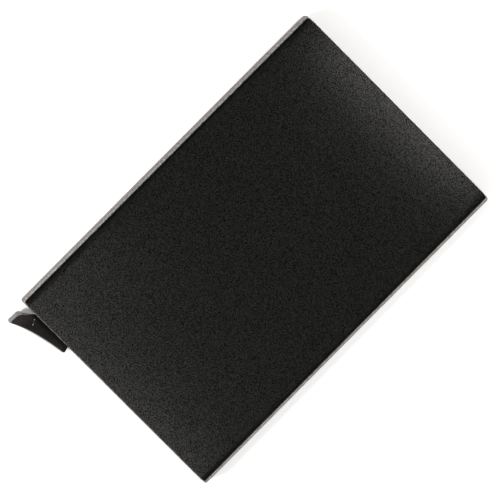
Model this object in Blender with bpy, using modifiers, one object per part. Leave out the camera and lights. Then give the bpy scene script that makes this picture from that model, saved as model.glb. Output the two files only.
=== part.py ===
"""Pop-up card wallet: a slim extruded case with a stepped ejector lever at its lower left corner.

Frame: +X across the case, +Y towards the open end where the cards come out, +Z out of the front
face.  The origin is the middle of the flat back face.  All lengths are in metres.
"""

import math

import bmesh
import bpy
from mathutils import Matrix, Vector

# Case: a flat oval tube, open at both ends
CASE_WIDTH = 0.0620
CASE_LENGTH = 0.0955
CASE_DEPTH = 0.0080
EDGE_RADIUS = 0.0024
FACE_WALL = 0.0009
SIDE_WALL = 0.0010
INNER_RADIUS = 0.0015
END_CHAMFER = 0.00025
PLAN_RADIUS = 0.00065
CASE_END = CASE_LENGTH / 2

# Cards: the ISO ID-1 size that the channel is made for
CARD_WIDTH = 0.05398

# Running gap between the case and what is pushed into it
FIT_GAP = 0.00005
LINER_HALF_WIDTH = CASE_WIDTH / 2 - SIDE_WALL - FIT_GAP
LINER_LOW = FACE_WALL + FIT_GAP
LINER_HIGH = CASE_DEPTH - FACE_WALL - FIT_GAP
LINER_RADIUS = INNER_RADIUS - FIT_GAP

# Base module: carrier tray and its cover, pushed into the lower end
BASE_LOW_Y = -CASE_END + 0.0003
CARD_STOP_Y = -0.0389
FLOOR_TOP = LINER_LOW + 0.0007
CARRIER_TOP = 0.0063
COVER_LOW = CARRIER_TOP + FIT_GAP
END_WALL_TOP_Y = BASE_LOW_Y + 0.0012
CHAMBER_LEFT = -0.0275
CHAMBER_RIGHT = 0.0246
SLOT_LEFT = -0.0272
SLOT_RIGHT = -0.0132
BOSS_HALF_WIDTH = 0.0014
BOSS_TOP_Y = -0.0432
BOSS_X = (-0.0080, 0.0080)
BOSS_SCREW_Y = -0.0447
SCREW_SPOTS = (
    (-0.0279, -0.0404),
    (BOSS_X[0], BOSS_SCREW_Y),
    (BOSS_X[1], BOSS_SCREW_Y),
    (0.0270, -0.0425),
)

# Cover screws, countersunk with a cross recess
SCREW_TOP = LINER_HIGH - 0.00012
SCREW_HEAD_RADIUS = 0.00110
SCREW_HEAD_HEIGHT = 0.00045
SCREW_SHANK_RADIUS = 0.00060
SCREW_LENGTH = 0.0044
SCREW_GAP = 0.00006
RECESS_LENGTH = 0.0013
RECESS_WIDTH = 0.00028
RECESS_DEPTH = 0.0004

# Pivot of the ejector lever
PIVOT = Vector((-0.0243, -0.0433, 0.0))
PIN_RADIUS = 0.0010
PIN_GAP = 0.00005
BORE_GAP = 0.00006
PIN_LOW = 0.0010
PIN_HIGH = 0.0070

# Ejector lever: hub, finger piece and a stack of arms, one for each card
LEVER_LOW = 0.00175
CARD_STEP = 0.0009
ARM_COUNT = 5
LEVER_HIGH = LEVER_LOW + ARM_COUNT * CARD_STEP
HUB_RADIUS = 0.0029
LONGEST_ARM = 0.0460
ARM_STEP_BACK = 0.0080
ARM_HALF_WIDTH = 0.0020
ARM_NARROWING = 0.0001
ARM_OFFSET = 0.00225
ARM_OVERLAP = 0.0003
FINGER_INSET = 0.00005
TIP_DRAFT = math.radians(7.8)
TIP_TOP_X = -0.02912
TIP_MIDDLE_Y = -0.0518

# Torsion spring in the hub's pocket
SPRING_WIRE_RADIUS = 0.00018
SPRING_RADIUS = 0.0018
SPRING_TURNS = 3.25
SPRING_LOW = 0.00465
SPRING_HIGH = 0.00595
SPRING_TANG_LOW = 0.0037
SPRING_LEG_TOP_Y = -0.0404
POCKET_RADIUS = 0.00235
POCKET_FLOOR = 0.0044
NOTCH_FLOOR = 0.0055
TANG_HOLE_RADIUS = 0.0003

# Side rails and the card brakes set in them
RAIL_FACE = CARD_WIDTH / 2 + 0.00041
RAIL_LOW_Y = CARD_STOP_Y + 0.0002
RAIL_HIGH_Y = CASE_END - 0.00125
GROOVE_BACK = 0.0290
GROOVE_LOW = 0.0014
GROOVE_HIGH = 0.0066
GROOVE_START_Y = 0.0080
GROOVE_END_Y = 0.0400
BRAKE_GAP = 0.0001
FOAM_FACE = 0.0281
PILE_BACK = FOAM_FACE - FIT_GAP
PILE_FACE = 0.02705
PAD_BEVEL = 0.00015

# Felt liners just inside the mouth
FELT_HALF_WIDTH = 0.0265
FELT_START_Y = 0.0345
FELT_END_Y = 0.0462
FELT_THICKNESS = 0.0005

ROUND_STEPS = 32
CORNER_STEPS = 8
MERGE_DISTANCE = 0.00001


def clear_scene():
    for item in list(bpy.data.objects):
        bpy.data.objects.remove(item, do_unlink=True)


def new_collection(name):
    collection = bpy.data.collections.new(name)
    bpy.context.scene.collection.children.link(collection)
    return collection


def principled(name, colour, roughness, metallic):
    """A plain Principled material."""
    result = bpy.data.materials.new(name)
    result.use_nodes = True
    shader = result.node_tree.nodes["Principled BSDF"]
    shader.inputs["Base Color"].default_value = (*colour, 1.0)
    shader.inputs["Roughness"].default_value = roughness
    shader.inputs["Metallic"].default_value = metallic
    return result


def finish_mesh(form, name, collection):
    """Turns a bmesh into an object with its faces pointing out."""
    bmesh.ops.recalc_face_normals(form, faces=form.faces)
    mesh = bpy.data.meshes.new(name)
    form.to_mesh(mesh)
    form.free()
    result = bpy.data.objects.new(name, mesh)
    collection.objects.link(result)
    return result


def box(name, low, high, collection):
    """A box between two opposite corners, placed by its middle."""
    size = Vector(high) - Vector(low)
    form = bmesh.new()
    bmesh.ops.create_cube(form, size=1.0)
    bmesh.ops.scale(form, vec=size, verts=form.verts)
    result = finish_mesh(form, name, collection)
    result.location = (Vector(low) + Vector(high)) / 2
    return result


def cylinder(name, x, y, low, high, radius, collection, top_radius=None):
    """An upright cylinder, or a cone where the top radius differs."""
    form = bmesh.new()
    bmesh.ops.create_cone(
        form,
        cap_ends=True,
        segments=ROUND_STEPS,
        radius1=radius,
        radius2=radius if top_radius is None else top_radius,
        depth=high - low,
    )
    result = finish_mesh(form, name, collection)
    result.location = (x, y, (low + high) / 2)
    return result


def prism(name, outline, low, high, collection):
    """A flat outline in X and Y, as a filled 2D curve extruded both ways, made into a mesh."""
    curve = bpy.data.curves.new(name, "CURVE")
    curve.dimensions = "2D"
    curve.fill_mode = "BOTH"
    curve.extrude = (high - low) / 2
    spline = curve.splines.new("POLY")
    spline.points.add(len(outline) - 1)
    for point, (x, y) in zip(spline.points, outline):
        point.co = (x, y, 0.0, 1.0)
    spline.use_cyclic_u = True
    source = bpy.data.objects.new(name + "_curve", curve)
    source.location = (0.0, 0.0, (low + high) / 2)
    collection.objects.link(source)
    depsgraph = bpy.context.evaluated_depsgraph_get()
    mesh = bpy.data.meshes.new_from_object(source.evaluated_get(depsgraph))
    form = bmesh.new()
    form.from_mesh(mesh)
    bpy.data.meshes.remove(mesh)
    bmesh.ops.remove_doubles(form, verts=form.verts, dist=MERGE_DISTANCE)
    result = finish_mesh(form, name, collection)
    result.matrix_world = source.matrix_world
    result.location = source.location
    bpy.data.objects.remove(source, do_unlink=True)
    return result


def loft(name, sections, closes, collection):
    """Quads between equal rings of points.  The sections close into a tube, or end in caps."""
    form = bmesh.new()
    rings = [[form.verts.new(point) for point in section] for section in sections]
    following = rings[1:] + rings[:1] if closes else rings[1:]
    for ring, after in zip(rings, following):
        for index in range(len(ring)):
            onward = (index + 1) % len(ring)
            form.faces.new((ring[index], ring[onward], after[onward], after[index]))
    if not closes:
        form.faces.new(rings[0])
        form.faces.new(rings[-1])
    return finish_mesh(form, name, collection)


def rounded_section(y, half_width, low, high, radius):
    """A rounded rectangle in the plane of X and Z at one place along the case."""
    corners = (
        (half_width - radius, high - radius),
        (radius - half_width, high - radius),
        (radius - half_width, low + radius),
        (half_width - radius, low + radius),
    )
    points = []
    for quarter, (x, z) in enumerate(corners):
        for step in range(CORNER_STEPS + 1):
            angle = math.pi / 2 * (quarter + step / CORNER_STEPS)
            points.append((x + radius * math.cos(angle), y, z + radius * math.sin(angle)))
    return points


def modify(target, tool, operation, hidden):
    """Cuts or joins another object with an exact Boolean and hides that object."""
    modifier = target.modifiers.new(tool.name, "BOOLEAN")
    modifier.operation = operation
    modifier.solver = "EXACT"
    modifier.object = tool
    tool.hide_render = True
    tool.display_type = "WIRE"
    for collection in tool.users_collection:
        collection.objects.unlink(tool)
    hidden.objects.link(tool)


def soften(target, width):
    bevel = target.modifiers.new("soft_edges", "BEVEL")
    bevel.width = width
    bevel.segments = 1


def smooth(target):
    target.data.shade_smooth()
    target.data.set_sharp_from_angle(angle=math.radians(35))


def give(target, material):
    target.data.materials.clear()
    target.data.materials.append(material)


def move_origin(target, point):
    """Puts the object's origin on a point without moving its shape."""
    bpy.context.view_layer.update()
    offset = target.matrix_world.inverted() @ Vector(point)
    target.data.transform(Matrix.Translation(-offset))
    target.location = point


def arc(centre, radius, start, end, steps):
    """Points of an arc in the plane, angles in degrees."""
    points = []
    for step in range(steps + 1):
        angle = math.radians(start + (end - start) * step / steps)
        points.append((centre[0] + radius * math.cos(angle), centre[1] + radius * math.sin(angle)))
    return points


def bend(start, pull, end, steps):
    """Points of a quadratic curve from start to end, drawn towards pull, without its end point."""
    points = []
    for step in range(steps):
        t = step / steps
        weights = ((1 - t) ** 2, 2 * t * (1 - t), t**2)
        ends = (start, pull, end)
        points.append(tuple(sum(w * p[i] for w, p in zip(weights, ends)) for i in (0, 1)))
    return points


def make_outer_shell(parts):
    """The extruded tube: its outer edge is rounded in plan at the sides and chamfered at both ends."""
    half_width = CASE_WIDTH / 2

    def outer(y, distance):
        inward = PLAN_RADIUS - math.sqrt(max(PLAN_RADIUS**2 - (PLAN_RADIUS - distance) ** 2, 0.0))
        lift = max(END_CHAMFER - distance, 0.0)
        return rounded_section(y, half_width - inward, lift, CASE_DEPTH - lift, EDGE_RADIUS)

    distances = [PLAN_RADIUS * (1 - math.cos(math.pi / 2 * step / 4)) for step in range(5)]
    distances[0] = 0.0
    if END_CHAMFER not in distances:
        distances = sorted(distances + [END_CHAMFER])
    lower = [outer(-CASE_END + distance, distance) for distance in distances]
    upper = [outer(CASE_END - distance, distance) for distance in reversed(distances)]
    inner = [
        rounded_section(
            y, half_width - SIDE_WALL, FACE_WALL, CASE_DEPTH - FACE_WALL, INNER_RADIUS
        )
        for y in (CASE_END, -CASE_END)
    ]
    return loft("outer_shell", lower + upper + inner, True, parts)


def liner_block(name, low_y, high_y, collection):
    """A solid block that fills the case's cavity over a stretch of its length."""
    sections = [
        rounded_section(y, LINER_HALF_WIDTH, LINER_LOW, LINER_HIGH, LINER_RADIUS)
        for y in (low_y, high_y)
    ]
    return loft(name, sections, False, collection)


def make_base_carrier(parts, cutters):
    """The tray that carries the lever: floor, end wall with a slot, screw bosses, card ledges."""
    carrier = liner_block("base_carrier", BASE_LOW_Y, CARD_STOP_Y, parts)
    reach = CASE_WIDTH / 2
    beyond = CASE_DEPTH
    top = box(
        "carrier_top_cut", (-reach, -CASE_END, CARRIER_TOP), (reach, 0.0, beyond), cutters
    )
    modify(carrier, top, "DIFFERENCE", cutters)
    chamber = box(
        "chamber_cut",
        (CHAMBER_LEFT, END_WALL_TOP_Y, FLOOR_TOP),
        (CHAMBER_RIGHT, 0.0, beyond),
        cutters,
    )
    modify(carrier, chamber, "DIFFERENCE", cutters)

    sunk = FLOOR_TOP - ARM_OVERLAP
    boss_top = CARRIER_TOP - FIT_GAP
    blocks = [
        ("left_card_ledge", (-0.0277, -0.0401), (-0.0252, CARD_STOP_Y - FIT_GAP)),
        ("left_screw_block", (-0.0277, -0.0410), (-0.0265, CARD_STOP_Y - 2 * FIT_GAP)),
    ]
    for number, x in enumerate(BOSS_X, start=1):
        low = (x - BOSS_HALF_WIDTH, END_WALL_TOP_Y - ARM_OVERLAP)
        blocks.append((f"screw_boss_{number}", low, (x + BOSS_HALF_WIDTH, BOSS_TOP_Y)))
    for name, low, high in blocks:
        block = box(name, (*low, sunk), (*high, boss_top), cutters)
        modify(carrier, block, "UNION", cutters)

    slot = box(
        "lever_slot_cut",
        (SLOT_LEFT, -CASE_END, FLOOR_TOP),
        (SLOT_RIGHT, END_WALL_TOP_Y + FIT_GAP, beyond),
        cutters,
    )
    modify(carrier, slot, "DIFFERENCE", cutters)
    hole_low = SCREW_TOP - SCREW_LENGTH - 0.0002
    for number, (x, y) in enumerate(SCREW_SPOTS, start=1):
        radius = SCREW_SHANK_RADIUS + SCREW_GAP
        hole = cylinder(f"pilot_hole_{number}", x, y, hole_low, beyond, radius, cutters)
        modify(carrier, hole, "DIFFERENCE", cutters)
    seat = cylinder(
        "carrier_pin_hole", PIVOT.x, PIVOT.y, 0.0, FLOOR_TOP + 0.001, PIN_RADIUS + PIN_GAP, cutters
    )
    modify(carrier, seat, "DIFFERENCE", cutters)
    return carrier


def make_base_cover(parts, cutters):
    """The plate that closes the tray, countersunk for its screws and drilled for the pin."""
    cover = liner_block("base_cover", BASE_LOW_Y, CARD_STOP_Y, parts)
    reach = CASE_WIDTH / 2
    below = box("cover_bottom_cut", (-reach, -CASE_END, 0.0), (reach, 0.0, COVER_LOW), cutters)
    modify(cover, below, "DIFFERENCE", cutters)
    beyond = CASE_DEPTH
    for number, (x, y) in enumerate(SCREW_SPOTS, start=1):
        radius = SCREW_SHANK_RADIUS + SCREW_GAP
        hole = cylinder(f"cover_hole_{number}", x, y, CARRIER_TOP, beyond, radius, cutters)
        modify(cover, hole, "DIFFERENCE", cutters)
        slope = (SCREW_HEAD_RADIUS - SCREW_SHANK_RADIUS) / SCREW_HEAD_HEIGHT
        head_low = SCREW_TOP - SCREW_HEAD_HEIGHT
        sink = cylinder(
            f"countersink_{number}",
            x,
            y,
            head_low,
            beyond,
            radius,
            cutters,
            top_radius=radius + slope * (beyond - head_low),
        )
        modify(cover, sink, "DIFFERENCE", cutters)
    seat = cylinder(
        "cover_pin_hole", PIVOT.x, PIVOT.y, CARRIER_TOP, beyond, PIN_RADIUS + PIN_GAP, cutters
    )
    modify(cover, seat, "DIFFERENCE", cutters)
    return cover


def make_cover_screws(parts, cutters):
    """One turned screw with a cross recess; each copy shares its mesh."""
    tip = SCREW_LENGTH - SCREW_SHANK_RADIUS
    profile = (
        (0.0, 0.0),
        (SCREW_HEAD_RADIUS, 0.0),
        (SCREW_SHANK_RADIUS, -SCREW_HEAD_HEIGHT),
        (SCREW_SHANK_RADIUS, -tip),
        (0.0, -SCREW_LENGTH),
    )
    form = bmesh.new()
    points = [form.verts.new((x, 0.0, z)) for x, z in profile]
    for first, second in zip(points, points[1:]):
        form.edges.new((first, second))
    mesh = bpy.data.meshes.new("screw_profile")
    form.to_mesh(mesh)
    form.free()
    pattern = bpy.data.objects.new("screw_pattern", mesh)
    parts.objects.link(pattern)
    turn = pattern.modifiers.new("turn", "SCREW")
    turn.steps = 24
    turn.render_steps = 24
    turn.use_merge_vertices = True
    turn.merge_threshold = MERGE_DISTANCE
    half = (RECESS_LENGTH / 2, RECESS_WIDTH / 2)
    for name, (x, y) in (("recess_across", half), ("recess_along", half[::-1])):
        slot = box(name, (-x, -y, -RECESS_DEPTH), (x, y, RECESS_DEPTH), cutters)
        modify(pattern, slot, "DIFFERENCE", cutters)
    depsgraph = bpy.context.evaluated_depsgraph_get()
    turned = bpy.data.meshes.new_from_object(pattern.evaluated_get(depsgraph))
    bpy.data.objects.remove(pattern, do_unlink=True)
    for name in ("recess_across", "recess_along"):
        bpy.data.objects.remove(bpy.data.objects[name], do_unlink=True)
    screws = []
    for number, (x, y) in enumerate(SCREW_SPOTS, start=1):
        screw = bpy.data.objects.new(f"cover_screw_{number}", turned)
        screw.location = (x, y, SCREW_TOP)
        parts.objects.link(screw)
        screws.append(screw)
    return screws


def make_pivot_pin(parts):
    return cylinder("pivot_pin", PIVOT.x, PIVOT.y, PIN_LOW, PIN_HIGH, PIN_RADIUS, parts)


def finger_outline():
    """The finger piece in plan: neck, flared tip, hollowed lower edge and a slim rounded end."""
    neck_top = (-0.0257, -0.0446)
    neck_foot = (-0.0259, -0.0476)
    hollow = (-0.0280, -0.0493)
    flare = (-0.0289, -0.04966)
    flare_corner = (-0.0296, -0.0498)
    tip_top = (-0.02972, -0.0507)
    tip_low = (-0.02982, -0.0528)
    tip_corner = (-0.02985, -0.0535)
    heel = (-0.0288, -0.05348)
    end_radius = 0.00065
    end_centre = (-0.01548, -0.0491)
    end_low = (end_centre[0] - 0.00017, end_centre[1] - end_radius)
    inner_corner = (-0.01566, -0.0467)
    inner_end = (-0.0162, -0.0461)
    hub_side = (-0.0226, -0.0450)
    outline = [neck_top]
    outline += bend(neck_foot, (-0.0265, -0.0482), hollow, 4)
    outline += bend(hollow, (-0.0283, -0.04955), flare, 3)
    outline += bend(flare, flare_corner, tip_top, 5)
    outline += bend(tip_top, (-0.02968, -0.0518), tip_low, 4)
    outline += bend(tip_low, tip_corner, heel, 5)
    outline += bend(heel, (-0.0244, -0.0511), end_low, 9)
    outline += arc(end_centre, end_radius, -105, 20, 7)
    outline += bend(inner_corner, (-0.0158, inner_end[1]), inner_end, 3)
    outline += [inner_end, hub_side, (PIVOT.x, PIVOT.y)]
    return outline


def arm_outline(reach, half_width):
    """One card arm in plan, from the hub's shoulder to its round tip."""
    middle = PIVOT.y + ARM_OFFSET
    tip = (PIVOT.x + reach, middle)
    shoulder_x = PIVOT.x + 0.0028
    root_x = PIVOT.x + 0.0010
    outline = [(root_x, PIVOT.y + 0.0026), (root_x, middle - half_width)]
    outline += arc(tip, half_width, -90, 90, CORNER_STEPS)
    outline.append((shoulder_x, middle + half_width))
    return outline


def make_ejector_lever(parts, cutters):
    """Hub, finger piece and five stepped arms in one moulding, with its origin on the pivot."""
    lever = cylinder(
        "ejector_lever", PIVOT.x, PIVOT.y, LEVER_LOW, LEVER_HIGH, HUB_RADIUS, parts
    )
    finger = prism(
        "finger_piece",
        finger_outline(),
        LEVER_LOW + FINGER_INSET,
        LEVER_HIGH - FINGER_INSET,
        cutters,
    )
    modify(lever, finger, "UNION", cutters)
    for number in range(ARM_COUNT):
        top = LEVER_LOW + (number + 1) * CARD_STEP
        low = top - CARD_STEP - (ARM_OVERLAP if number else -FINGER_INSET)
        outline = arm_outline(
            LONGEST_ARM - number * ARM_STEP_BACK, ARM_HALF_WIDTH - number * ARM_NARROWING
        )
        top_gap = FINGER_INSET / 2 if number == ARM_COUNT - 1 else 0.0
        arm = prism(f"card_arm_{number + 1}", outline, low, top - top_gap, cutters)
        modify(lever, arm, "UNION", cutters)

    beyond = LEVER_HIGH + 0.001
    bore = cylinder(
        "lever_bore", PIVOT.x, PIVOT.y, 0.0, beyond, PIN_RADIUS + BORE_GAP, cutters
    )
    pocket = cylinder(
        "spring_pocket", PIVOT.x, PIVOT.y, POCKET_FLOOR, beyond, POCKET_RADIUS, cutters
    )
    tang_hole = cylinder(
        "spring_tang_hole",
        PIVOT.x,
        PIVOT.y - SPRING_RADIUS,
        SPRING_TANG_LOW - 0.0002,
        beyond,
        TANG_HOLE_RADIUS,
        cutters,
    )
    notch = box(
        "spring_leg_notch",
        (PIVOT.x - 0.00245, PIVOT.y + 0.0009, NOTCH_FLOOR),
        (PIVOT.x + 0.0002, PIVOT.y + 0.0034, beyond),
        cutters,
    )
    draft = box("tip_draft_cut", (-0.005, -0.003, -0.006), (0.0, 0.003, 0.006), cutters)
    draft.data.transform(Matrix.Translation((-0.0025, 0.0, 0.0)))
    draft.location = (TIP_TOP_X, TIP_MIDDLE_Y, LEVER_HIGH)
    draft.rotation_euler = (0.0, TIP_DRAFT, 0.0)
    for tool in (bore, pocket, tang_hole, notch, draft):
        modify(lever, tool, "DIFFERENCE", cutters)
    move_origin(lever, PIVOT)
    return lever


def make_return_spring(parts):
    """A torsion spring: a tang in the hub, three turns and a leg that bears on the carrier."""
    curve = bpy.data.curves.new("return_spring", "CURVE")
    curve.dimensions = "3D"
    curve.bevel_depth = SPRING_WIRE_RADIUS
    curve.bevel_resolution = 2
    curve.use_fill_caps = True
    steps = int(SPRING_TURNS * 16)
    points = [(0.0, -SPRING_RADIUS, SPRING_TANG_LOW)]
    for step in range(steps + 1):
        angle = math.radians(-90) - 2 * math.pi * SPRING_TURNS * step / steps
        height = SPRING_LOW + (SPRING_HIGH - SPRING_LOW) * step / steps
        points.append((SPRING_RADIUS * math.cos(angle), SPRING_RADIUS * math.sin(angle), height))
    points.append((-SPRING_RADIUS, SPRING_LEG_TOP_Y - PIVOT.y, SPRING_HIGH))
    spline = curve.splines.new("POLY")
    spline.points.add(len(points) - 1)
    for point, place in zip(spline.points, points):
        point.co = (*place, 1.0)
    spring = bpy.data.objects.new("return_spring", curve)
    spring.location = PIVOT
    parts.objects.link(spring)
    return spring


def side_box(name, side, near, far, low_y, high_y, low_z, high_z, collection):
    """A box beside the card channel; side is -1 for left and 1 for right."""
    edges = sorted((side * near, side * far))
    return box(
        name, (edges[0], low_y, low_z), (edges[1], high_y, high_z), collection
    )


def make_side(side, parts, cutters):
    """One side rail with a foam strip and a pile-faced brake pad in its groove."""
    word = "left" if side < 0 else "right"
    rail = liner_block(f"side_rail_{word}", RAIL_LOW_Y, RAIL_HIGH_Y, parts)
    channel = side_box(
        f"rail_channel_cut_{word}",
        side,
        -CASE_WIDTH,
        RAIL_FACE,
        -CASE_LENGTH,
        CASE_LENGTH,
        0.0,
        CASE_DEPTH,
        cutters,
    )
    modify(rail, channel, "DIFFERENCE", cutters)
    groove = side_box(
        f"rail_groove_cut_{word}",
        side,
        RAIL_FACE - 0.001,
        GROOVE_BACK,
        GROOVE_START_Y,
        GROOVE_END_Y,
        GROOVE_LOW,
        GROOVE_HIGH,
        cutters,
    )
    modify(rail, groove, "DIFFERENCE", cutters)
    span = (
        GROOVE_START_Y + BRAKE_GAP,
        GROOVE_END_Y - BRAKE_GAP,
        GROOVE_LOW + BRAKE_GAP,
        GROOVE_HIGH - BRAKE_GAP,
    )
    foam = side_box(f"brake_foam_{word}", side, FOAM_FACE, GROOVE_BACK - FIT_GAP, *span, parts)
    pile = side_box(f"brake_pad_{word}", side, PILE_FACE, PILE_BACK, *span, parts)
    soften(pile, PAD_BEVEL)
    return rail, foam, pile


def make_felts(parts):
    """Two felt strips on the case's inner faces, just inside the mouth."""
    felts = []
    for name, low in (("back_felt", LINER_LOW), ("front_felt", LINER_HIGH - FELT_THICKNESS)):
        felt = box(
            name,
            (-FELT_HALF_WIDTH, FELT_START_Y, low),
            (FELT_HALF_WIDTH, FELT_END_Y, low + FELT_THICKNESS),
            parts,
        )
        felts.append(felt)
    return felts


def main():
    clear_scene()
    parts = new_collection("popup_card_wallet")
    cutters = new_collection("cutters")
    anodised = principled("black_anodised_aluminium", (0.012, 0.012, 0.012), 0.5, 0.9)
    black_plastic = principled("black_nylon", (0.010, 0.009, 0.009), 0.45, 0.0)
    dark_plastic = principled("dark_grey_plastic", (0.022, 0.022, 0.023), 0.5, 0.0)
    steel = principled("bright_steel", (0.55, 0.55, 0.56), 0.3, 1.0)
    foam_rubber = principled("black_foam", (0.02, 0.02, 0.02), 0.9, 0.0)
    felt_cloth = principled("charcoal_felt", (0.03, 0.03, 0.032), 0.95, 0.0)

    shell = make_outer_shell(parts)
    give(shell, anodised)
    smooth(shell)
    for piece in (make_base_carrier(parts, cutters), make_base_cover(parts, cutters)):
        give(piece, dark_plastic)
    for screw in make_cover_screws(parts, cutters):
        give(screw, steel)
    pin = make_pivot_pin(parts)
    give(pin, steel)
    smooth(pin)
    give(make_ejector_lever(parts, cutters), black_plastic)
    give(make_return_spring(parts), steel)
    for side in (-1, 1):
        rail, foam, pile = make_side(side, parts, cutters)
        give(rail, dark_plastic)
        give(foam, foam_rubber)
        give(pile, felt_cloth)
    for felt in make_felts(parts):
        give(felt, felt_cloth)


main()
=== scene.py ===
"""Looks of the pop-up card wallet: a black bead-blasted aluminium case with a nylon finger lever.

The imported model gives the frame: +X across the case, +Y towards the open mouth, +Z out of the
front face, with the origin in the middle of the back face.  All lengths are in metres.
"""

import math

import bmesh
import bpy
from mathutils import Matrix, Vector, noise


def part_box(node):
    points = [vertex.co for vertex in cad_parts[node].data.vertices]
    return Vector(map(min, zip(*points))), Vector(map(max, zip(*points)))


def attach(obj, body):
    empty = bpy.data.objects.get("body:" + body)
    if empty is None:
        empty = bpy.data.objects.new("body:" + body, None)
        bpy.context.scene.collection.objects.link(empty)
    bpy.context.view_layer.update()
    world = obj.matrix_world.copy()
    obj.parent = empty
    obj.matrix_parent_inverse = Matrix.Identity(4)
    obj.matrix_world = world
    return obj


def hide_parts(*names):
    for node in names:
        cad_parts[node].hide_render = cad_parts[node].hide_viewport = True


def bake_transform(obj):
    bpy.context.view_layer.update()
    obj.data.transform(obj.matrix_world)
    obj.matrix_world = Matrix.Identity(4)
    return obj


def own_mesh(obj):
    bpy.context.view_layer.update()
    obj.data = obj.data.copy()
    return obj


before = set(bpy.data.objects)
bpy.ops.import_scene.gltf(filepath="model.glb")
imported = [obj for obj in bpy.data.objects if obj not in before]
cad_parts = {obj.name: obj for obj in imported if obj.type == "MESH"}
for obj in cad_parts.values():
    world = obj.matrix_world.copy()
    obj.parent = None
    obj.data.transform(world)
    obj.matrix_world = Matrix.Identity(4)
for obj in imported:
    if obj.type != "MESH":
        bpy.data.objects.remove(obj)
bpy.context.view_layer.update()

# Case shell: its size, its walls and its rounded long edges, as the model has them
SHELL_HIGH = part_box("outer_shell")[1]
HALF_WIDTH = SHELL_HIGH.x
DEPTH = SHELL_HIGH.z
CASE_END = SHELL_HIGH.y
EDGE_RADIUS = 0.0024
FACE_WALL = 0.0009
SIDE_WALL = 0.0010
INNER_RADIUS = 0.0015

# Cut ends of the shell: corners rounded in plan, and edges broken outside and inside
PLAN_RADIUS = 0.00065
END_CHAMFER = 0.00025
INNER_CHAMFER = 0.00012
END_ZONE = 0.002

# Lever, placed by its joint
LEVER_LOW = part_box("ejector_lever")[0].z
LEVER_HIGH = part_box("ejector_lever")[1].z

# The finger piece's faces lie a small step inside the lever's height
FINGER_STEP = 0.00005
FINGER_LOW = LEVER_LOW + FINGER_STEP
FINGER_HIGH = LEVER_HIGH - FINGER_STEP
FINGER_FILLET = 0.00028

# From this Y towards the mouth the lever is the model's own; the finger piece replaces the rest
FINGER_JOIN = -0.0464

# Along X the finger piece's top gets a painted highlight, lighter and browner towards its tip
PAINTED_HIGHLIGHT_SPAN = (-0.0255, -0.0290)

# Along Y the finger piece goes from a painted shade, darkest beside the case, to its usual black
PAINTED_SHADE_SPAN = (-0.0484, -0.0489)


# ---------------------------------------------------------------- shared helpers


def new_object(name, mesh):
    result = bpy.data.objects.new(name, mesh)
    bpy.context.scene.collection.objects.link(result)
    return result


def mesh_object(form, name, sharp=35):
    """Makes an object of a bmesh, facing out and smooth apart from its sharp edges."""
    bmesh.ops.recalc_face_normals(form, faces=form.faces)
    mesh = bpy.data.meshes.new(name)
    form.to_mesh(mesh)
    form.free()
    mesh.shade_smooth()
    mesh.set_sharp_from_angle(angle=math.radians(sharp))
    return new_object(name, mesh)


def applied(target):
    """Replaces the object's mesh by its evaluated one, with no modifiers left."""
    depsgraph = bpy.context.evaluated_depsgraph_get()
    mesh = bpy.data.meshes.new_from_object(target.evaluated_get(depsgraph))
    target.modifiers.clear()
    target.data = mesh


def boolean(target, tool, operation):
    """Cuts or joins with another object at once, and removes that object."""
    step = target.modifiers.new(operation, "BOOLEAN")
    step.operation = operation
    step.solver = "EXACT"
    step.object = tool
    applied(target)
    bpy.data.objects.remove(tool, do_unlink=True)


def dress(piece, material, body, slot, *nodes):
    """Gives a piece its material, its body and the CAD nodes that it stands for; the slot is not used.
    """
    piece.data.materials.clear()
    piece.data.materials.append(material)
    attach(piece, body)
    if nodes:
        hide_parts(*nodes)


def ring_faces(form, rings, closes):
    """Quads between equal rings of vertices; the rings close on themselves or stay open."""
    following = rings[1:] + rings[:1] if closes else rings[1:]
    for ring, after in zip(rings, following):
        for index in range(len(ring)):
            onward = (index + 1) % len(ring)
            form.faces.new((ring[index], ring[onward], after[onward], after[index]))


# ---------------------------------------------------------------- materials


def node_material(name):
    material = bpy.data.materials.new(name)
    material.use_nodes = True
    tree = material.node_tree
    return material, tree, tree.nodes["Principled BSDF"]


def add_node(tree, kind, **inputs):
    node = tree.nodes.new(kind)
    for key, value in inputs.items():
        node.inputs[key.replace("_", " ")].default_value = value
    return node


def noise_node(tree, coordinates, size, detail=2.0, roughness=0.5):
    """Noise whose features are about size metres across."""
    node = add_node(tree, "ShaderNodeTexNoise", Scale=1.0 / size, Detail=detail, Roughness=roughness)
    tree.links.new(coordinates, node.inputs["Vector"])
    return node.outputs["Fac"]


def object_coordinates(tree):
    return tree.nodes.new("ShaderNodeTexCoord").outputs["Object"]


def parts_of(tree, vector):
    """A vector's X, Y and Z, as the outputs of one node."""
    node = tree.nodes.new("ShaderNodeSeparateXYZ")
    tree.links.new(vector, node.inputs["Vector"])
    return node.outputs


def surface_facing(tree):
    """The X, Y and Z of the way that the surface faces, in the object's own axes."""
    return parts_of(tree, tree.nodes.new("ShaderNodeTexCoord").outputs["Normal"])


def ramp(tree, value, low, high, dark, light):
    """A colour between dark and light as a value goes from low to high."""
    node = tree.nodes.new("ShaderNodeValToRGB")
    node.color_ramp.elements[0].position = low
    node.color_ramp.elements[0].color = (*dark, 1.0)
    node.color_ramp.elements[1].position = high
    node.color_ramp.elements[1].color = (*light, 1.0)
    tree.links.new(value, node.inputs["Fac"])
    return node.outputs["Color"]


def spread(tree, value, low, high, out_low, out_high):
    """Maps a value from one range to another and holds it there."""
    node = tree.nodes.new("ShaderNodeMapRange")
    for key, number in zip(("From Min", "From Max", "To Min", "To Max"), (low, high, out_low, out_high)):
        node.inputs[key].default_value = number
    tree.links.new(value, node.inputs["Value"])
    return node.outputs["Result"]


def bump(tree, height, distance):
    node = add_node(tree, "ShaderNodeBump", Distance=distance, Strength=1.0)
    tree.links.new(height, node.inputs["Height"])
    return node.outputs["Normal"]


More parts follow.
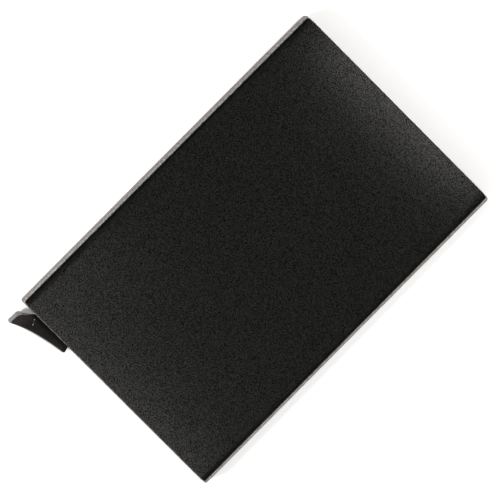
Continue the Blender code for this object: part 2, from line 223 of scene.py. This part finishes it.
def colour_between(tree, factor, first, second):
    """A colour that goes from first to second with a factor; each is a socket or three numbers."""
    mix = tree.nodes.new("ShaderNodeMix")
    mix.data_type = "RGBA"
    tree.links.new(factor, mix.inputs["Factor"])
    for key, colour in (("A", first), ("B", second)):
        if isinstance(colour, tuple):
            mix.inputs[key].default_value = (*colour, 1.0)
        else:
            tree.links.new(colour, mix.inputs[key])
    return mix.outputs["Result"]


def calculate(tree, operation, first, second=None):
    """One arithmetic step between two sockets, or on one."""
    node = tree.nodes.new("ShaderNodeMath")
    node.operation = operation
    tree.links.new(first, node.inputs[0])
    if second is not None:
        tree.links.new(second, node.inputs[1])
    return node.outputs["Value"]


def blasted_metal():
    """Black anodised aluminium: a bead-blasted speckle, weaker on the walls, with smoother edges."""
    pit_colour = (0.014, 0.014, 0.013)
    peak_colour = (0.364, 0.356, 0.344)
    wall_colour = (0.192, 0.188, 0.181)
    material, tree, shader = node_material("black_blasted_anodise")
    place = object_coordinates(tree)
    facing = surface_facing(tree)
    sideways = calculate(tree, "ABSOLUTE", facing["X"])
    upright = calculate(tree, "ABSOLUTE", facing["Z"])
    speckle = noise_node(tree, place, 0.00023, 2.0, 0.6)
    grain = ramp(tree, speckle, 0.40, 0.60, pit_colour, peak_colour)
    strength = spread(tree, upright, 0.0, 1.0, 0.45, 1.0)
    colour = colour_between(tree, strength, wall_colour, grain)
    tree.links.new(colour, shader.inputs["Base Color"])
    cloud = noise_node(tree, place, 0.012, 3.0)
    matte = spread(tree, cloud, 0.3, 0.7, 0.285, 0.30)
    on_edge = calculate(tree, "MULTIPLY", sideways, upright)
    wear_and_painted_highlight = spread(tree, on_edge, 0.1, 0.4, 0.0, 0.13)
    tree.links.new(calculate(tree, "SUBTRACT", matte, wear_and_painted_highlight), shader.inputs["Roughness"])
    coarse = noise_node(tree, place, 0.0005, 2.0)
    tree.links.new(bump(tree, coarse, 0.000004), shader.inputs["Normal"])
    shader.inputs["Metallic"].default_value = 1.0
    shader.inputs["Specular Tint"].default_value = (0.45, 0.45, 0.45, 1.0)
    return material


def moulded_plastic(name, dark, light, rough, grain):
    """Injection-moulded plastic with a fine spark-eroded texture."""
    return plastic_nodes(name, dark, light, rough, grain)[0]


def plastic_nodes(name, dark, light, rough, grain):
    """The nodes of a moulded plastic: its material, its tree and its shader."""
    material, tree, shader = node_material(name)
    place = object_coordinates(tree)
    texture = noise_node(tree, place, grain, 3.0, 0.6)
    cloud = noise_node(tree, place, grain * 4.0, 3.0)
    tree.links.new(ramp(tree, cloud, 0.35, 0.65, dark, light), shader.inputs["Base Color"])
    tree.links.new(
        spread(tree, texture, 0.3, 0.7, rough - 0.05, rough + 0.07), shader.inputs["Roughness"]
    )
    tree.links.new(bump(tree, texture, 0.000012), shader.inputs["Normal"])
    shader.inputs["IOR"].default_value = 1.45
    return material, tree, shader


def nylon_with_painted_light():
    """The lever's black nylon, with a painted shade beside the case and a painted highlight that makes
    the tip's top lighter and browner.
    """
    dark = (0.0028, 0.0026, 0.0024)
    light = (0.0066, 0.0062, 0.0058)
    # Painted shade: near black beside the case, where the case's edge shades the finger piece
    case_edge_painted_shade = (0.0004, 0.0004, 0.0004)
    # Painted highlight: lighter, browner colours for the top face towards the tip
    highlight_dark = (0.010, 0.0078, 0.0076)
    highlight_light = (0.022, 0.0170, 0.0166)
    material, tree, shader = plastic_nodes("black_nylon", dark, light, 0.36, 0.00025)
    place = object_coordinates(tree)
    along = parts_of(tree, place)
    plain = shader.inputs["Base Color"].links[0].from_socket
    # The painted shade fades out over the span away from the case
    away_from_painted_shade = spread(tree, along["Y"], *PAINTED_SHADE_SPAN, 0.0, 1.0)
    colour_with_painted_shade = colour_between(tree, away_from_painted_shade, case_edge_painted_shade, plain)
    highlight_patches = noise_node(tree, place, 0.0007, 3.0)
    # The painted highlight's colour, in patches
    wear_and_painted_highlight = ramp(tree, highlight_patches, 0.3, 0.7, highlight_dark, highlight_light)
    flat = spread(tree, surface_facing(tree)["Z"], 0.85, 0.99, 0.0, 1.0)
    tip = spread(tree, along["X"], *PAINTED_HIGHLIGHT_SPAN, 0.0, 1.0)
    # Only the upward faces near the tip take the painted highlight
    painted_highlight_mask = calculate(tree, "MULTIPLY", tip, flat)
    tree.links.new(colour_between(tree, painted_highlight_mask, colour_with_painted_shade, wear_and_painted_highlight), shader.inputs["Base Color"])
    return material


def drawn_steel():
    """Bright drawn wire and turned pins, with fine lines round them."""
    material, tree, shader = node_material("bright_drawn_steel")
    place = object_coordinates(tree)
    lines = noise_node(tree, place, 0.00006, 4.0, 0.7)
    tree.links.new(
        ramp(tree, lines, 0.3, 0.7, (0.42, 0.42, 0.43), (0.60, 0.60, 0.61)),
        shader.inputs["Base Color"],
    )
    tree.links.new(spread(tree, lines, 0.3, 0.7, 0.22, 0.36), shader.inputs["Roughness"])
    tree.links.new(bump(tree, lines, 0.000003), shader.inputs["Normal"])
    shader.inputs["Metallic"].default_value = 1.0
    return material


def fibre_cloth(name, dark, light, size):
    """Felt or pile: tangled fibres with a soft sheen."""
    material, tree, shader = node_material(name)
    place = object_coordinates(tree)
    fibres = noise_node(tree, place, size, 5.0, 0.7)
    tangle = noise_node(tree, place, size * 6.0, 3.0, 0.6)
    tree.links.new(ramp(tree, fibres, 0.35, 0.65, dark, light), shader.inputs["Base Color"])
    tree.links.new(spread(tree, tangle, 0.3, 0.7, 0.82, 0.98), shader.inputs["Roughness"])
    tree.links.new(bump(tree, fibres, 0.00006), shader.inputs["Normal"])
    shader.inputs["Sheen Weight"].default_value = 0.4
    shader.inputs["Sheen Roughness"].default_value = 0.5
    shader.inputs["Sheen Tint"].default_value = (0.5, 0.5, 0.52, 1.0)
    shader.inputs["Specular IOR Level"].default_value = 0.2
    return material


def open_foam():
    """Soft black foam with open cells."""
    material, tree, shader = node_material("open_cell_foam")
    place = object_coordinates(tree)
    cells = add_node(tree, "ShaderNodeTexVoronoi", Scale=1.0 / 0.0004)
    tree.links.new(place, cells.inputs["Vector"])
    depth = cells.outputs["Distance"]
    # Painted shade in the cell hollows: the colour darkens where the bump sinks
    tree.links.new(
        ramp(tree, depth, 0.05, 0.6, (0.008, 0.008, 0.008), (0.035, 0.035, 0.036)),
        shader.inputs["Base Color"],
    )
    tree.links.new(bump(tree, depth, 0.00015), shader.inputs["Normal"])
    shader.inputs["Roughness"].default_value = 0.95
    shader.inputs["Specular IOR Level"].default_value = 0.15
    return material


# ---------------------------------------------------------------- case shell


def corner_ring(y, half_width, low, high, radius, steps=20, support=0.00025):
    """A rounded rectangle in X and Z with a supporting point beside each end of each corner."""
    centres = (
        (half_width - radius, high - radius),
        (radius - half_width, high - radius),
        (radius - half_width, low + radius),
        (half_width - radius, low + radius),
    )
    points = []
    for quarter, (x, z) in enumerate(centres):
        start = math.pi / 2 * quarter
        along = (math.sin(start) * support, -math.cos(start) * support)
        first = (x + radius * math.cos(start), z + radius * math.sin(start))
        points.append((first[0] + along[0], y, first[1] + along[1]))
        for step in range(steps + 1):
            angle = start + math.pi / 2 * step / steps
            points.append((x + radius * math.cos(angle), y, z + radius * math.sin(angle)))
        end = start + math.pi / 2
        along = (-math.sin(end) * support, math.cos(end) * support)
        last = (x + radius * math.cos(end), z + radius * math.sin(end))
        points.append((last[0] + along[0], y, last[1] + along[1]))
    return points


def outer_ring(y, distance):
    """The outer outline at a distance in from a cut end: rounded in plan, broken at the faces."""
    inward = PLAN_RADIUS - math.sqrt(max(PLAN_RADIUS**2 - (PLAN_RADIUS - distance) ** 2, 0.0))
    lift = 0.0
    if distance < END_CHAMFER:
        lift = END_CHAMFER - math.sqrt(END_CHAMFER**2 - (END_CHAMFER - distance) ** 2)
    return corner_ring(y, HALF_WIDTH - inward, lift, DEPTH - lift, EDGE_RADIUS)


def inner_ring(y, flare):
    """The inner outline, let out by a flare."""
    return corner_ring(
        y,
        HALF_WIDTH - SIDE_WALL + flare,
        FACE_WALL - flare,
        DEPTH - FACE_WALL + flare,
        INNER_RADIUS,
        support=0.0002,
    )


def make_case_shell(material):
    """The extruded tube with softened cut ends, inside and out."""
    turn_steps = 6
    middle_steps = 8
    turn = [math.pi / 2 * step / turn_steps for step in range(turn_steps + 1)]
    distances = {END_CHAMFER * (1 - math.cos(angle)) for angle in turn}
    distances |= {PLAN_RADIUS * (1 - math.cos(angle)) for angle in turn}
    distances = sorted(distances)
    middle_start = END_ZONE - CASE_END
    middle_length = 2 * (CASE_END - END_ZONE)
    middle = [
        middle_start + middle_length * step / middle_steps for step in range(middle_steps + 1)
    ]
    sections = [outer_ring(-CASE_END + distance, distance) for distance in distances]
    sections += [outer_ring(y, PLAN_RADIUS) for y in middle]
    sections += [outer_ring(CASE_END - distance, distance) for distance in reversed(distances)]
    sections += [inner_ring(CASE_END, INNER_CHAMFER), inner_ring(CASE_END - INNER_CHAMFER, 0.0)]
    sections += [inner_ring(INNER_CHAMFER - CASE_END, 0.0), inner_ring(-CASE_END, INNER_CHAMFER)]
    form = bmesh.new()
    rings = [[form.verts.new(point) for point in section] for section in sections]
    ring_faces(form, rings, True)
    shell = mesh_object(form, "case_shell", sharp=30)
    dress(shell, material, "case", "shell_metal", "outer_shell")


# ---------------------------------------------------------------- finger lever


def arc(centre, radius, start, end, steps):
    """Points of an arc in the plane, angles in degrees."""
    points = []
    for step in range(steps + 1):
        angle = math.radians(start + (end - start) * step / steps)
        points.append((centre[0] + radius * math.cos(angle), centre[1] + radius * math.sin(angle)))
    return points


def bend(start, pull, end, steps):
    """Points of a quadratic curve from start to end, drawn towards pull, without its end point."""
    points = []
    for step in range(steps):
        t = step / steps
        weights = ((1 - t) ** 2, 2 * t * (1 - t), t**2)
        ends = (start, pull, end)
        points.append(tuple(sum(w * p[i] for w, p in zip(weights, ends)) for i in (0, 1)))
    return points


def between(low, high, rise):
    """A plan point that moves from low to high as rise goes from 0 to 1."""
    return tuple(a + (b - a) * rise for a, b in zip(low, high))


def finger_outline(rise):
    """The finger piece in plan; its thumb face leans back as rise goes from 0 to 1."""
    neck_top = (-0.02578, -0.0458)
    neck_foot = (-0.0259, -0.0476)
    hollow = between((-0.0280, -0.0493), (-0.0277, -0.0495), rise)
    hollow_pull = between((-0.0283, -0.04955), (-0.0279, -0.04966), rise)
    flare = between((-0.0289, -0.04966), (-0.0281, -0.04985), rise)
    flare_corner = between((-0.0296, -0.0498), (-0.02895, -0.05015), rise)
    tip_top = between((-0.02972, -0.0507), (-0.02908, -0.0514), rise)
    tip_pull = between((-0.02968, -0.0518), (-0.02912, -0.0520), rise)
    tip_low = between((-0.02982, -0.0528), (-0.02915, -0.0528), rise)
    tip_corner = between((-0.02985, -0.0535), (-0.02915, -0.0533), rise)
    heel = between((-0.0288, -0.05348), (-0.0286, -0.05315), rise)
    front_pull = between((-0.0244, -0.0511), (-0.02425, -0.05075), rise)
    end_radius = 0.00065 - 0.0002 * rise
    end_centre = (-0.01548, -0.0491)
    end_low = (end_centre[0] - 0.00017, end_centre[1] - end_radius)
    inner_corner = (-0.01566, -0.0467)
    inner_end = (-0.0162, -0.0461)
    hub_side = (-0.0226, -0.0458)
    outline = [neck_top]
    outline += bend(neck_foot, (-0.0265, -0.0482), hollow, 12)
    outline += bend(hollow, hollow_pull, flare, 6)
    outline += bend(flare, flare_corner, tip_top, 14)
    outline += bend(tip_top, tip_pull, tip_low, 12)
    outline += bend(tip_low, tip_corner, heel, 10)
    outline += bend(heel, front_pull, end_low, 30)
    outline += arc(end_centre, end_radius, -105, 20, 16)
    outline += bend(inner_corner, (-0.0158, inner_end[1]), inner_end, 8)
    outline += [inner_end, hub_side]
    return outline


def inset(outline, amount):
    """The outline moved inwards by an amount; its points go round counter-clockwise from above."""
    moved = []
    for index, point in enumerate(outline):
        before = Vector(outline[index - 1])
        after = Vector(outline[(index + 1) % len(outline)])
        here = Vector(point)
        sides = [(here - before).normalized(), (after - here).normalized()]
        normals = [Vector((-side.y, side.x)) for side in sides]
        middle = normals[0] + normals[1]
        if middle.length < 1e-6:
            middle = normals[0]
        middle.normalize()
        reach = amount / max(middle.dot(normals[0]), 0.5)
        moved.append(here + middle * reach)
    return moved


def finger_piece():
    """The finger piece as a loft with rounded upper and lower edges."""
    steps = 6
    levels = []
    for step in range(steps + 1):
        angle = math.pi / 2 * step / steps
        inward = FINGER_FILLET * (1 - math.sin(angle))
        up = FINGER_FILLET * (1 - math.cos(angle))
        levels.append((inward, up))
    height = FINGER_HIGH - FINGER_LOW
    rows = [(FINGER_LOW + up, inward) for inward, up in levels]
    rows += [(FINGER_LOW + height * part, 0.0) for part in (0.25, 0.5, 0.75)]
    rows += [(FINGER_HIGH - up, inward) for inward, up in reversed(levels)]
    form = bmesh.new()
    rings = []
    for z, inward in rows:
        points = inset(finger_outline((z - FINGER_LOW) / height), inward)
        rings.append([form.verts.new((point[0], point[1], z)) for point in points])
    ring_faces(form, rings, False)
    form.faces.new(rings[0])
    form.faces.new(rings[-1])
    return mesh_object(form, "finger_piece")


def welded_copy(node, name):
    """A copy of a CAD node's mesh with its vertices welded and its flat faces made whole."""
    form = bmesh.new()
    form.from_mesh(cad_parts[node].data)
    bmesh.ops.remove_doubles(form, verts=form.verts, dist=0.000002)
    bmesh.ops.dissolve_limit(
        form, angle_limit=math.radians(0.4), verts=form.verts, edges=form.edges
    )
    return mesh_object(form, name)


def cutter_box(low, high):
    form = bmesh.new()
    bmesh.ops.create_cube(form, size=1.0)
    bmesh.ops.scale(form, vec=Vector(high) - Vector(low), verts=form.verts)
    bmesh.ops.translate(form, vec=(Vector(low) + Vector(high)) / 2, verts=form.verts)
    return mesh_object(form, "cutter")


def make_finger_lever(material):
    """The lever: the model's hub and arms, joined to a finger piece with rounded edges."""
    low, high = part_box("ejector_lever")
    lever = welded_copy("ejector_lever", "finger_lever")
    margin = 0.001
    outside = cutter_box(
        (low.x - margin, low.y - margin, low.z - margin), (high.x, FINGER_JOIN, high.z + margin)
    )
    boolean(lever, outside, "DIFFERENCE")
    boolean(lever, finger_piece(), "UNION")
    lever.data.shade_smooth()
    lever.data.set_sharp_from_angle(angle=math.radians(35))
    dress(lever, material, "lever", "lever_plastic", "ejector_lever")


def make_return_spring(material):
    """The torsion spring: a welded copy of the model's, in steel and smooth shaded.
    """
    spring = welded_copy("return_spring", "hub_spring")
    spring.data.materials.clear()
    spring.data.materials.append(material)
    spring.data.shade_smooth()
    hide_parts("return_spring")
    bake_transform(spring)


def make_light_line_mark(material):
    """A fine light grey line with a dot at each end, on the finger piece's upper face."""
    ends = ((-0.02560, -0.04880), (-0.02500, -0.04992))
    line_half_width = 0.000014
    dot_radius = 0.00011
    sunk = 0.00003
    proud = 0.00002
    low = FINGER_HIGH - sunk
    high = FINGER_HIGH + proud
    way = (Vector(ends[1]) - Vector(ends[0])).normalized()
    aside = Vector((-way.y, way.x)) * line_half_width
    corners = [
        Vector(ends[0]) - aside,
        Vector(ends[1]) - aside,
        Vector(ends[1]) + aside,
        Vector(ends[0]) + aside,
    ]
    outlines = [arc(end, dot_radius, 0, 337.5, 15) for end in ends]
    mark = None
    for outline in [corners] + outlines:
        form = bmesh.new()
        rings = [[form.verts.new((x, y, z)) for x, y in outline] for z in (low, high)]
        ring_faces(form, rings, False)
        form.faces.new(rings[0])
        form.faces.new(rings[1])
        piece = mesh_object(form, "lever_light_line_mark")
        if mark is None:
            mark = piece
        else:
            boolean(mark, piece, "UNION")
    dress(mark, material, "lever", "lever_plastic")


# ---------------------------------------------------------------- soft pieces


def grid_block(low, high, pitch):
    """A box whose faces are cut into squares of about pitch."""
    size = Vector(high) - Vector(low)
    form = bmesh.new()
    bmesh.ops.create_cube(form, size=1.0)
    for axis in range(3):
        along = [
            edge
            for edge in form.edges
            if abs(edge.verts[0].co[axis] - edge.verts[1].co[axis]) > 0.5
        ]
        cuts = max(1, round(size[axis] / pitch)) - 1
        if cuts:
            bmesh.ops.subdivide_edges(form, edges=along, cuts=cuts, use_grid_fill=True)
    bmesh.ops.scale(form, vec=size, verts=form.verts)
    bmesh.ops.translate(form, vec=(Vector(low) + Vector(high)) / 2, verts=form.verts)
    return form


def soft_block(name, node, radius, pitch, grain, depth):
    """A soft strip in the space of a CAD node: round edges and a surface roughened inwards."""
    low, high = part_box(node)
    form = grid_block(low, high, pitch)
    inner_low = low + Vector((radius, radius, radius))
    inner_high = high - Vector((radius, radius, radius))
    for vertex in form.verts:
        core = Vector(
            min(max(vertex.co[axis], inner_low[axis]), inner_high[axis]) for axis in range(3)
        )
        outward = (vertex.co - core).normalized()
        rough = 0.5 + 0.5 * noise.noise(vertex.co / grain)
        vertex.co = core + outward * (radius - depth * min(max(rough, 0.0), 1.0))
    return mesh_object(form, name, sharp=80)


def make_felts(material):
    """Two felt strips that lie on the inner faces just inside the mouth."""
    for node in ("back_felt", "front_felt"):
        felt = soft_block(
            f"{node}_strip", node, radius=0.00018, pitch=0.00025, grain=0.0005, depth=0.00006
        )
        dress(felt, material, "case", "felt", node)


def make_brakes(pile, foam):
    """A pile-faced pad on a foam strip in each side rail; the pad rides its own brake body, the strip
    stays with the case.
    """
    for side, word in ((-1, "left"), (1, "right")):
        pad_node = f"brake_pad_{word}"
        pad = soft_block(
            f"{word}_pile_pad", pad_node, radius=0.0003, pitch=0.00022, grain=0.0004, depth=0.00008
        )
        dress(pad, pile, f"{word}_brake", "pile", pad_node)
        foam_node = f"brake_foam_{word}"
        strip = soft_block(
            f"{word}_foam_strip", foam_node, radius=0.0001, pitch=0.00025, grain=0.0005, depth=0.00003
        )
        dress(strip, foam, "case", "foam", foam_node)
        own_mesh(strip)


# ---------------------------------------------------------------- hard pieces inside


def crisp(node, material, width):
    """Keeps a CAD node, with rounded edges and a material."""
    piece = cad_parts[node]
    piece.data.materials.clear()
    piece.data.materials.append(material)
    step = piece.modifiers.new("soft_edges", "BEVEL")
    step.width = width
    step.segments = 2
    step.limit_method = "ANGLE"
    step.angle_limit = math.radians(35)
    step.harden_normals = True


# ---------------------------------------------------------------- stage, lights and camera

PALE = (0.90, 0.90, 0.90, 1.0)
CAMERA_TILT = (math.radians(6.0), math.radians(2.3))
CAMERA_ROLL = math.radians(45.08)
CAMERA_TARGET = Vector((-0.00070, -0.00098, 0.004))
CAMERA_DISTANCE = 1.65
VIEW_WIDTH = 0.11866
SENSOR_MM = 36.0

# What the lights aim at: the case, the lever's thumb face and the case's face by the lever
CASE_MIDDLE = (0.0, 0.0, 0.004)
THUMB_FACE = (-0.0285, -0.049, 0.001)
LEVER_CORNER = (-0.020, -0.034, 0.008)


def make_camera():
    """A long lens from almost straight above, leaning to the lever's long side."""
    data = bpy.data.cameras.new("camera")
    data.sensor_width = SENSOR_MM
    data.lens = SENSOR_MM * CAMERA_DISTANCE / VIEW_WIDTH
    data.clip_start = 0.05
    data.clip_end = 20.0
    camera = new_object("camera", data)
    back = Vector((-math.tan(CAMERA_TILT[0]), -math.tan(CAMERA_TILT[1]), 1.0)).normalized()
    up = Vector((-math.sin(CAMERA_ROLL), math.cos(CAMERA_ROLL), 0.0))
    up = (up - back * up.dot(back)).normalized()
    across = up.cross(back)
    pose = Matrix((across, up, back)).transposed().to_4x4()
    pose.translation = CAMERA_TARGET + back * CAMERA_DISTANCE
    camera.matrix_world = pose
    bpy.context.scene.camera = camera


def make_floor():
    form = bmesh.new()
    bmesh.ops.create_grid(form, x_segments=1, y_segments=1, size=6.0)
    floor = mesh_object(form, "floor")
    material, _, shader = node_material("pale_floor")
    shader.inputs["Base Color"].default_value = PALE
    shader.inputs["Roughness"].default_value = 1.0
    shader.inputs["Specular IOR Level"].default_value = 0.0
    floor.data.materials.append(material)


def area_light(name, place, target, size, power, diffuse=True, glossy=True):
    """A rectangular soft light aimed at a point, hidden from the camera."""
    data = bpy.data.lights.new(name, "AREA")
    data.shape = "RECTANGLE"
    data.size, data.size_y = size
    data.energy = power
    light = new_object(name, data)
    light.location = place
    aim = (Vector(place) - Vector(target)).normalized()
    light.rotation_euler = aim.to_track_quat("Z", "Y").to_euler()
    light.visible_camera = False
    light.visible_diffuse = diffuse
    light.visible_glossy = glossy
    return light


def make_world(ambient, reflected):
    """Even pale surroundings, darker in reflections, as in a studio with black cards overhead."""
    world = bpy.data.worlds.new("studio")
    bpy.context.scene.world = world
    world.use_nodes = True
    tree = world.node_tree
    background = tree.nodes["Background"]
    path = tree.nodes.new("ShaderNodeLightPath")
    mix = tree.nodes.new("ShaderNodeMix")
    mix.data_type = "RGBA"
    tree.links.new(path.outputs["Is Glossy Ray"], mix.inputs["Factor"])
    mix.inputs["A"].default_value = (ambient, ambient, ambient, 1.0)
    mix.inputs["B"].default_value = (reflected, reflected, reflected, 1.0)
    tree.links.new(mix.outputs["Result"], background.inputs["Color"])


def surface_lights():
    """Lights that fall on the surfaces and stay out of their reflections."""
    key_place = (-0.288, -0.569, 0.619)
    key = area_light("key", key_place, CASE_MIDDLE, (0.17, 0.17), 9.4, glossy=False)
    key.data.color = (1.0, 0.92, 0.92)
    fill_place = (0.15, 0.39, 0.78)
    fill = area_light("fill", fill_place, CASE_MIDDLE, (0.35, 0.35), 5.95, glossy=False)
    fill.data.color = (1.0, 0.98, 0.95)
    card_place = (-0.075, -0.060, 0.026)
    area_light("lever_card", card_place, THUMB_FACE, (0.03, 0.02), 0.012, glossy=False)


def reflected_lights():
    """Panels and strips that only show as reflections in the metal and the plastic."""
    glow_place = (-0.020, -0.0314, 0.088)
    area_light("corner_glow", glow_place, LEVER_CORNER, (0.02, 0.02), 0.00011, diffuse=False)
    mouth_place = (0.0067, CASE_END + 0.0040, 0.058)
    mouth_target = (0.0067, 0.050, 0.008)
    area_light("mouth_strip", mouth_place, mouth_target, (0.052, 0.007), 0.00068, diffuse=False)
    tail_place = (0.0095, -CASE_END - 0.016, 0.118)
    tail_target = (0.0095, -0.06, 0.008)
    area_light("tail_strip", tail_place, tail_target, (0.090, 0.010), 0.0038, diffuse=False)
    for name, place, size, power in (
        ("low_panel", (-0.10, -0.90, 0.32), (1.2, 0.5), 1.9),
        ("far_panel", (0.10, 0.90, 0.32), (1.2, 0.5), 0.7),
        ("ceiling", (0.0, 0.0, 1.2), (2.8, 2.8), 0.86),
    ):
        area_light(name, place, CASE_MIDDLE, size, power, diffuse=False)


# ---------------------------------------------------------------- the whole scene


def main():
    make_camera()
    metal = blasted_metal()
    nylon = nylon_with_painted_light()
    liner = moulded_plastic(
        "dark_liner_plastic",
        dark=(0.014, 0.014, 0.015),
        light=(0.022, 0.022, 0.023),
        rough=0.5,
        grain=0.00012,
    )
    steel = drawn_steel()
    felt = fibre_cloth(
        "charcoal_felt", dark=(0.016, 0.016, 0.017), light=(0.050, 0.050, 0.053), size=0.00012
    )
    pile = fibre_cloth(
        "black_pile", dark=(0.009, 0.009, 0.010), light=(0.032, 0.032, 0.034), size=0.00009
    )
    foam = open_foam()
    light_line_grey = moulded_plastic(
        "light_grey_nylon",
        dark=(0.16, 0.15, 0.145),
        light=(0.30, 0.28, 0.27),
        rough=0.5,
        grain=0.00008,
    )
    make_case_shell(metal)
    make_finger_lever(nylon)
    for node in ("base_carrier", "base_cover", "side_rail_left", "side_rail_right"):
        crisp(node, liner, width=0.00012)
    for number in range(1, 5):
        crisp(f"cover_screw_{number}", steel, width=0.00006)
    crisp("pivot_pin", steel, width=0.00008)
    make_return_spring(steel)
    make_felts(felt)
    make_brakes(pile, foam)
    make_light_line_mark(light_line_grey)
    make_floor()
    make_world(ambient=0.50, reflected=0.03)
    surface_lights()
    reflected_lights()
    bpy.context.scene.view_settings.view_transform = "Standard"


main()
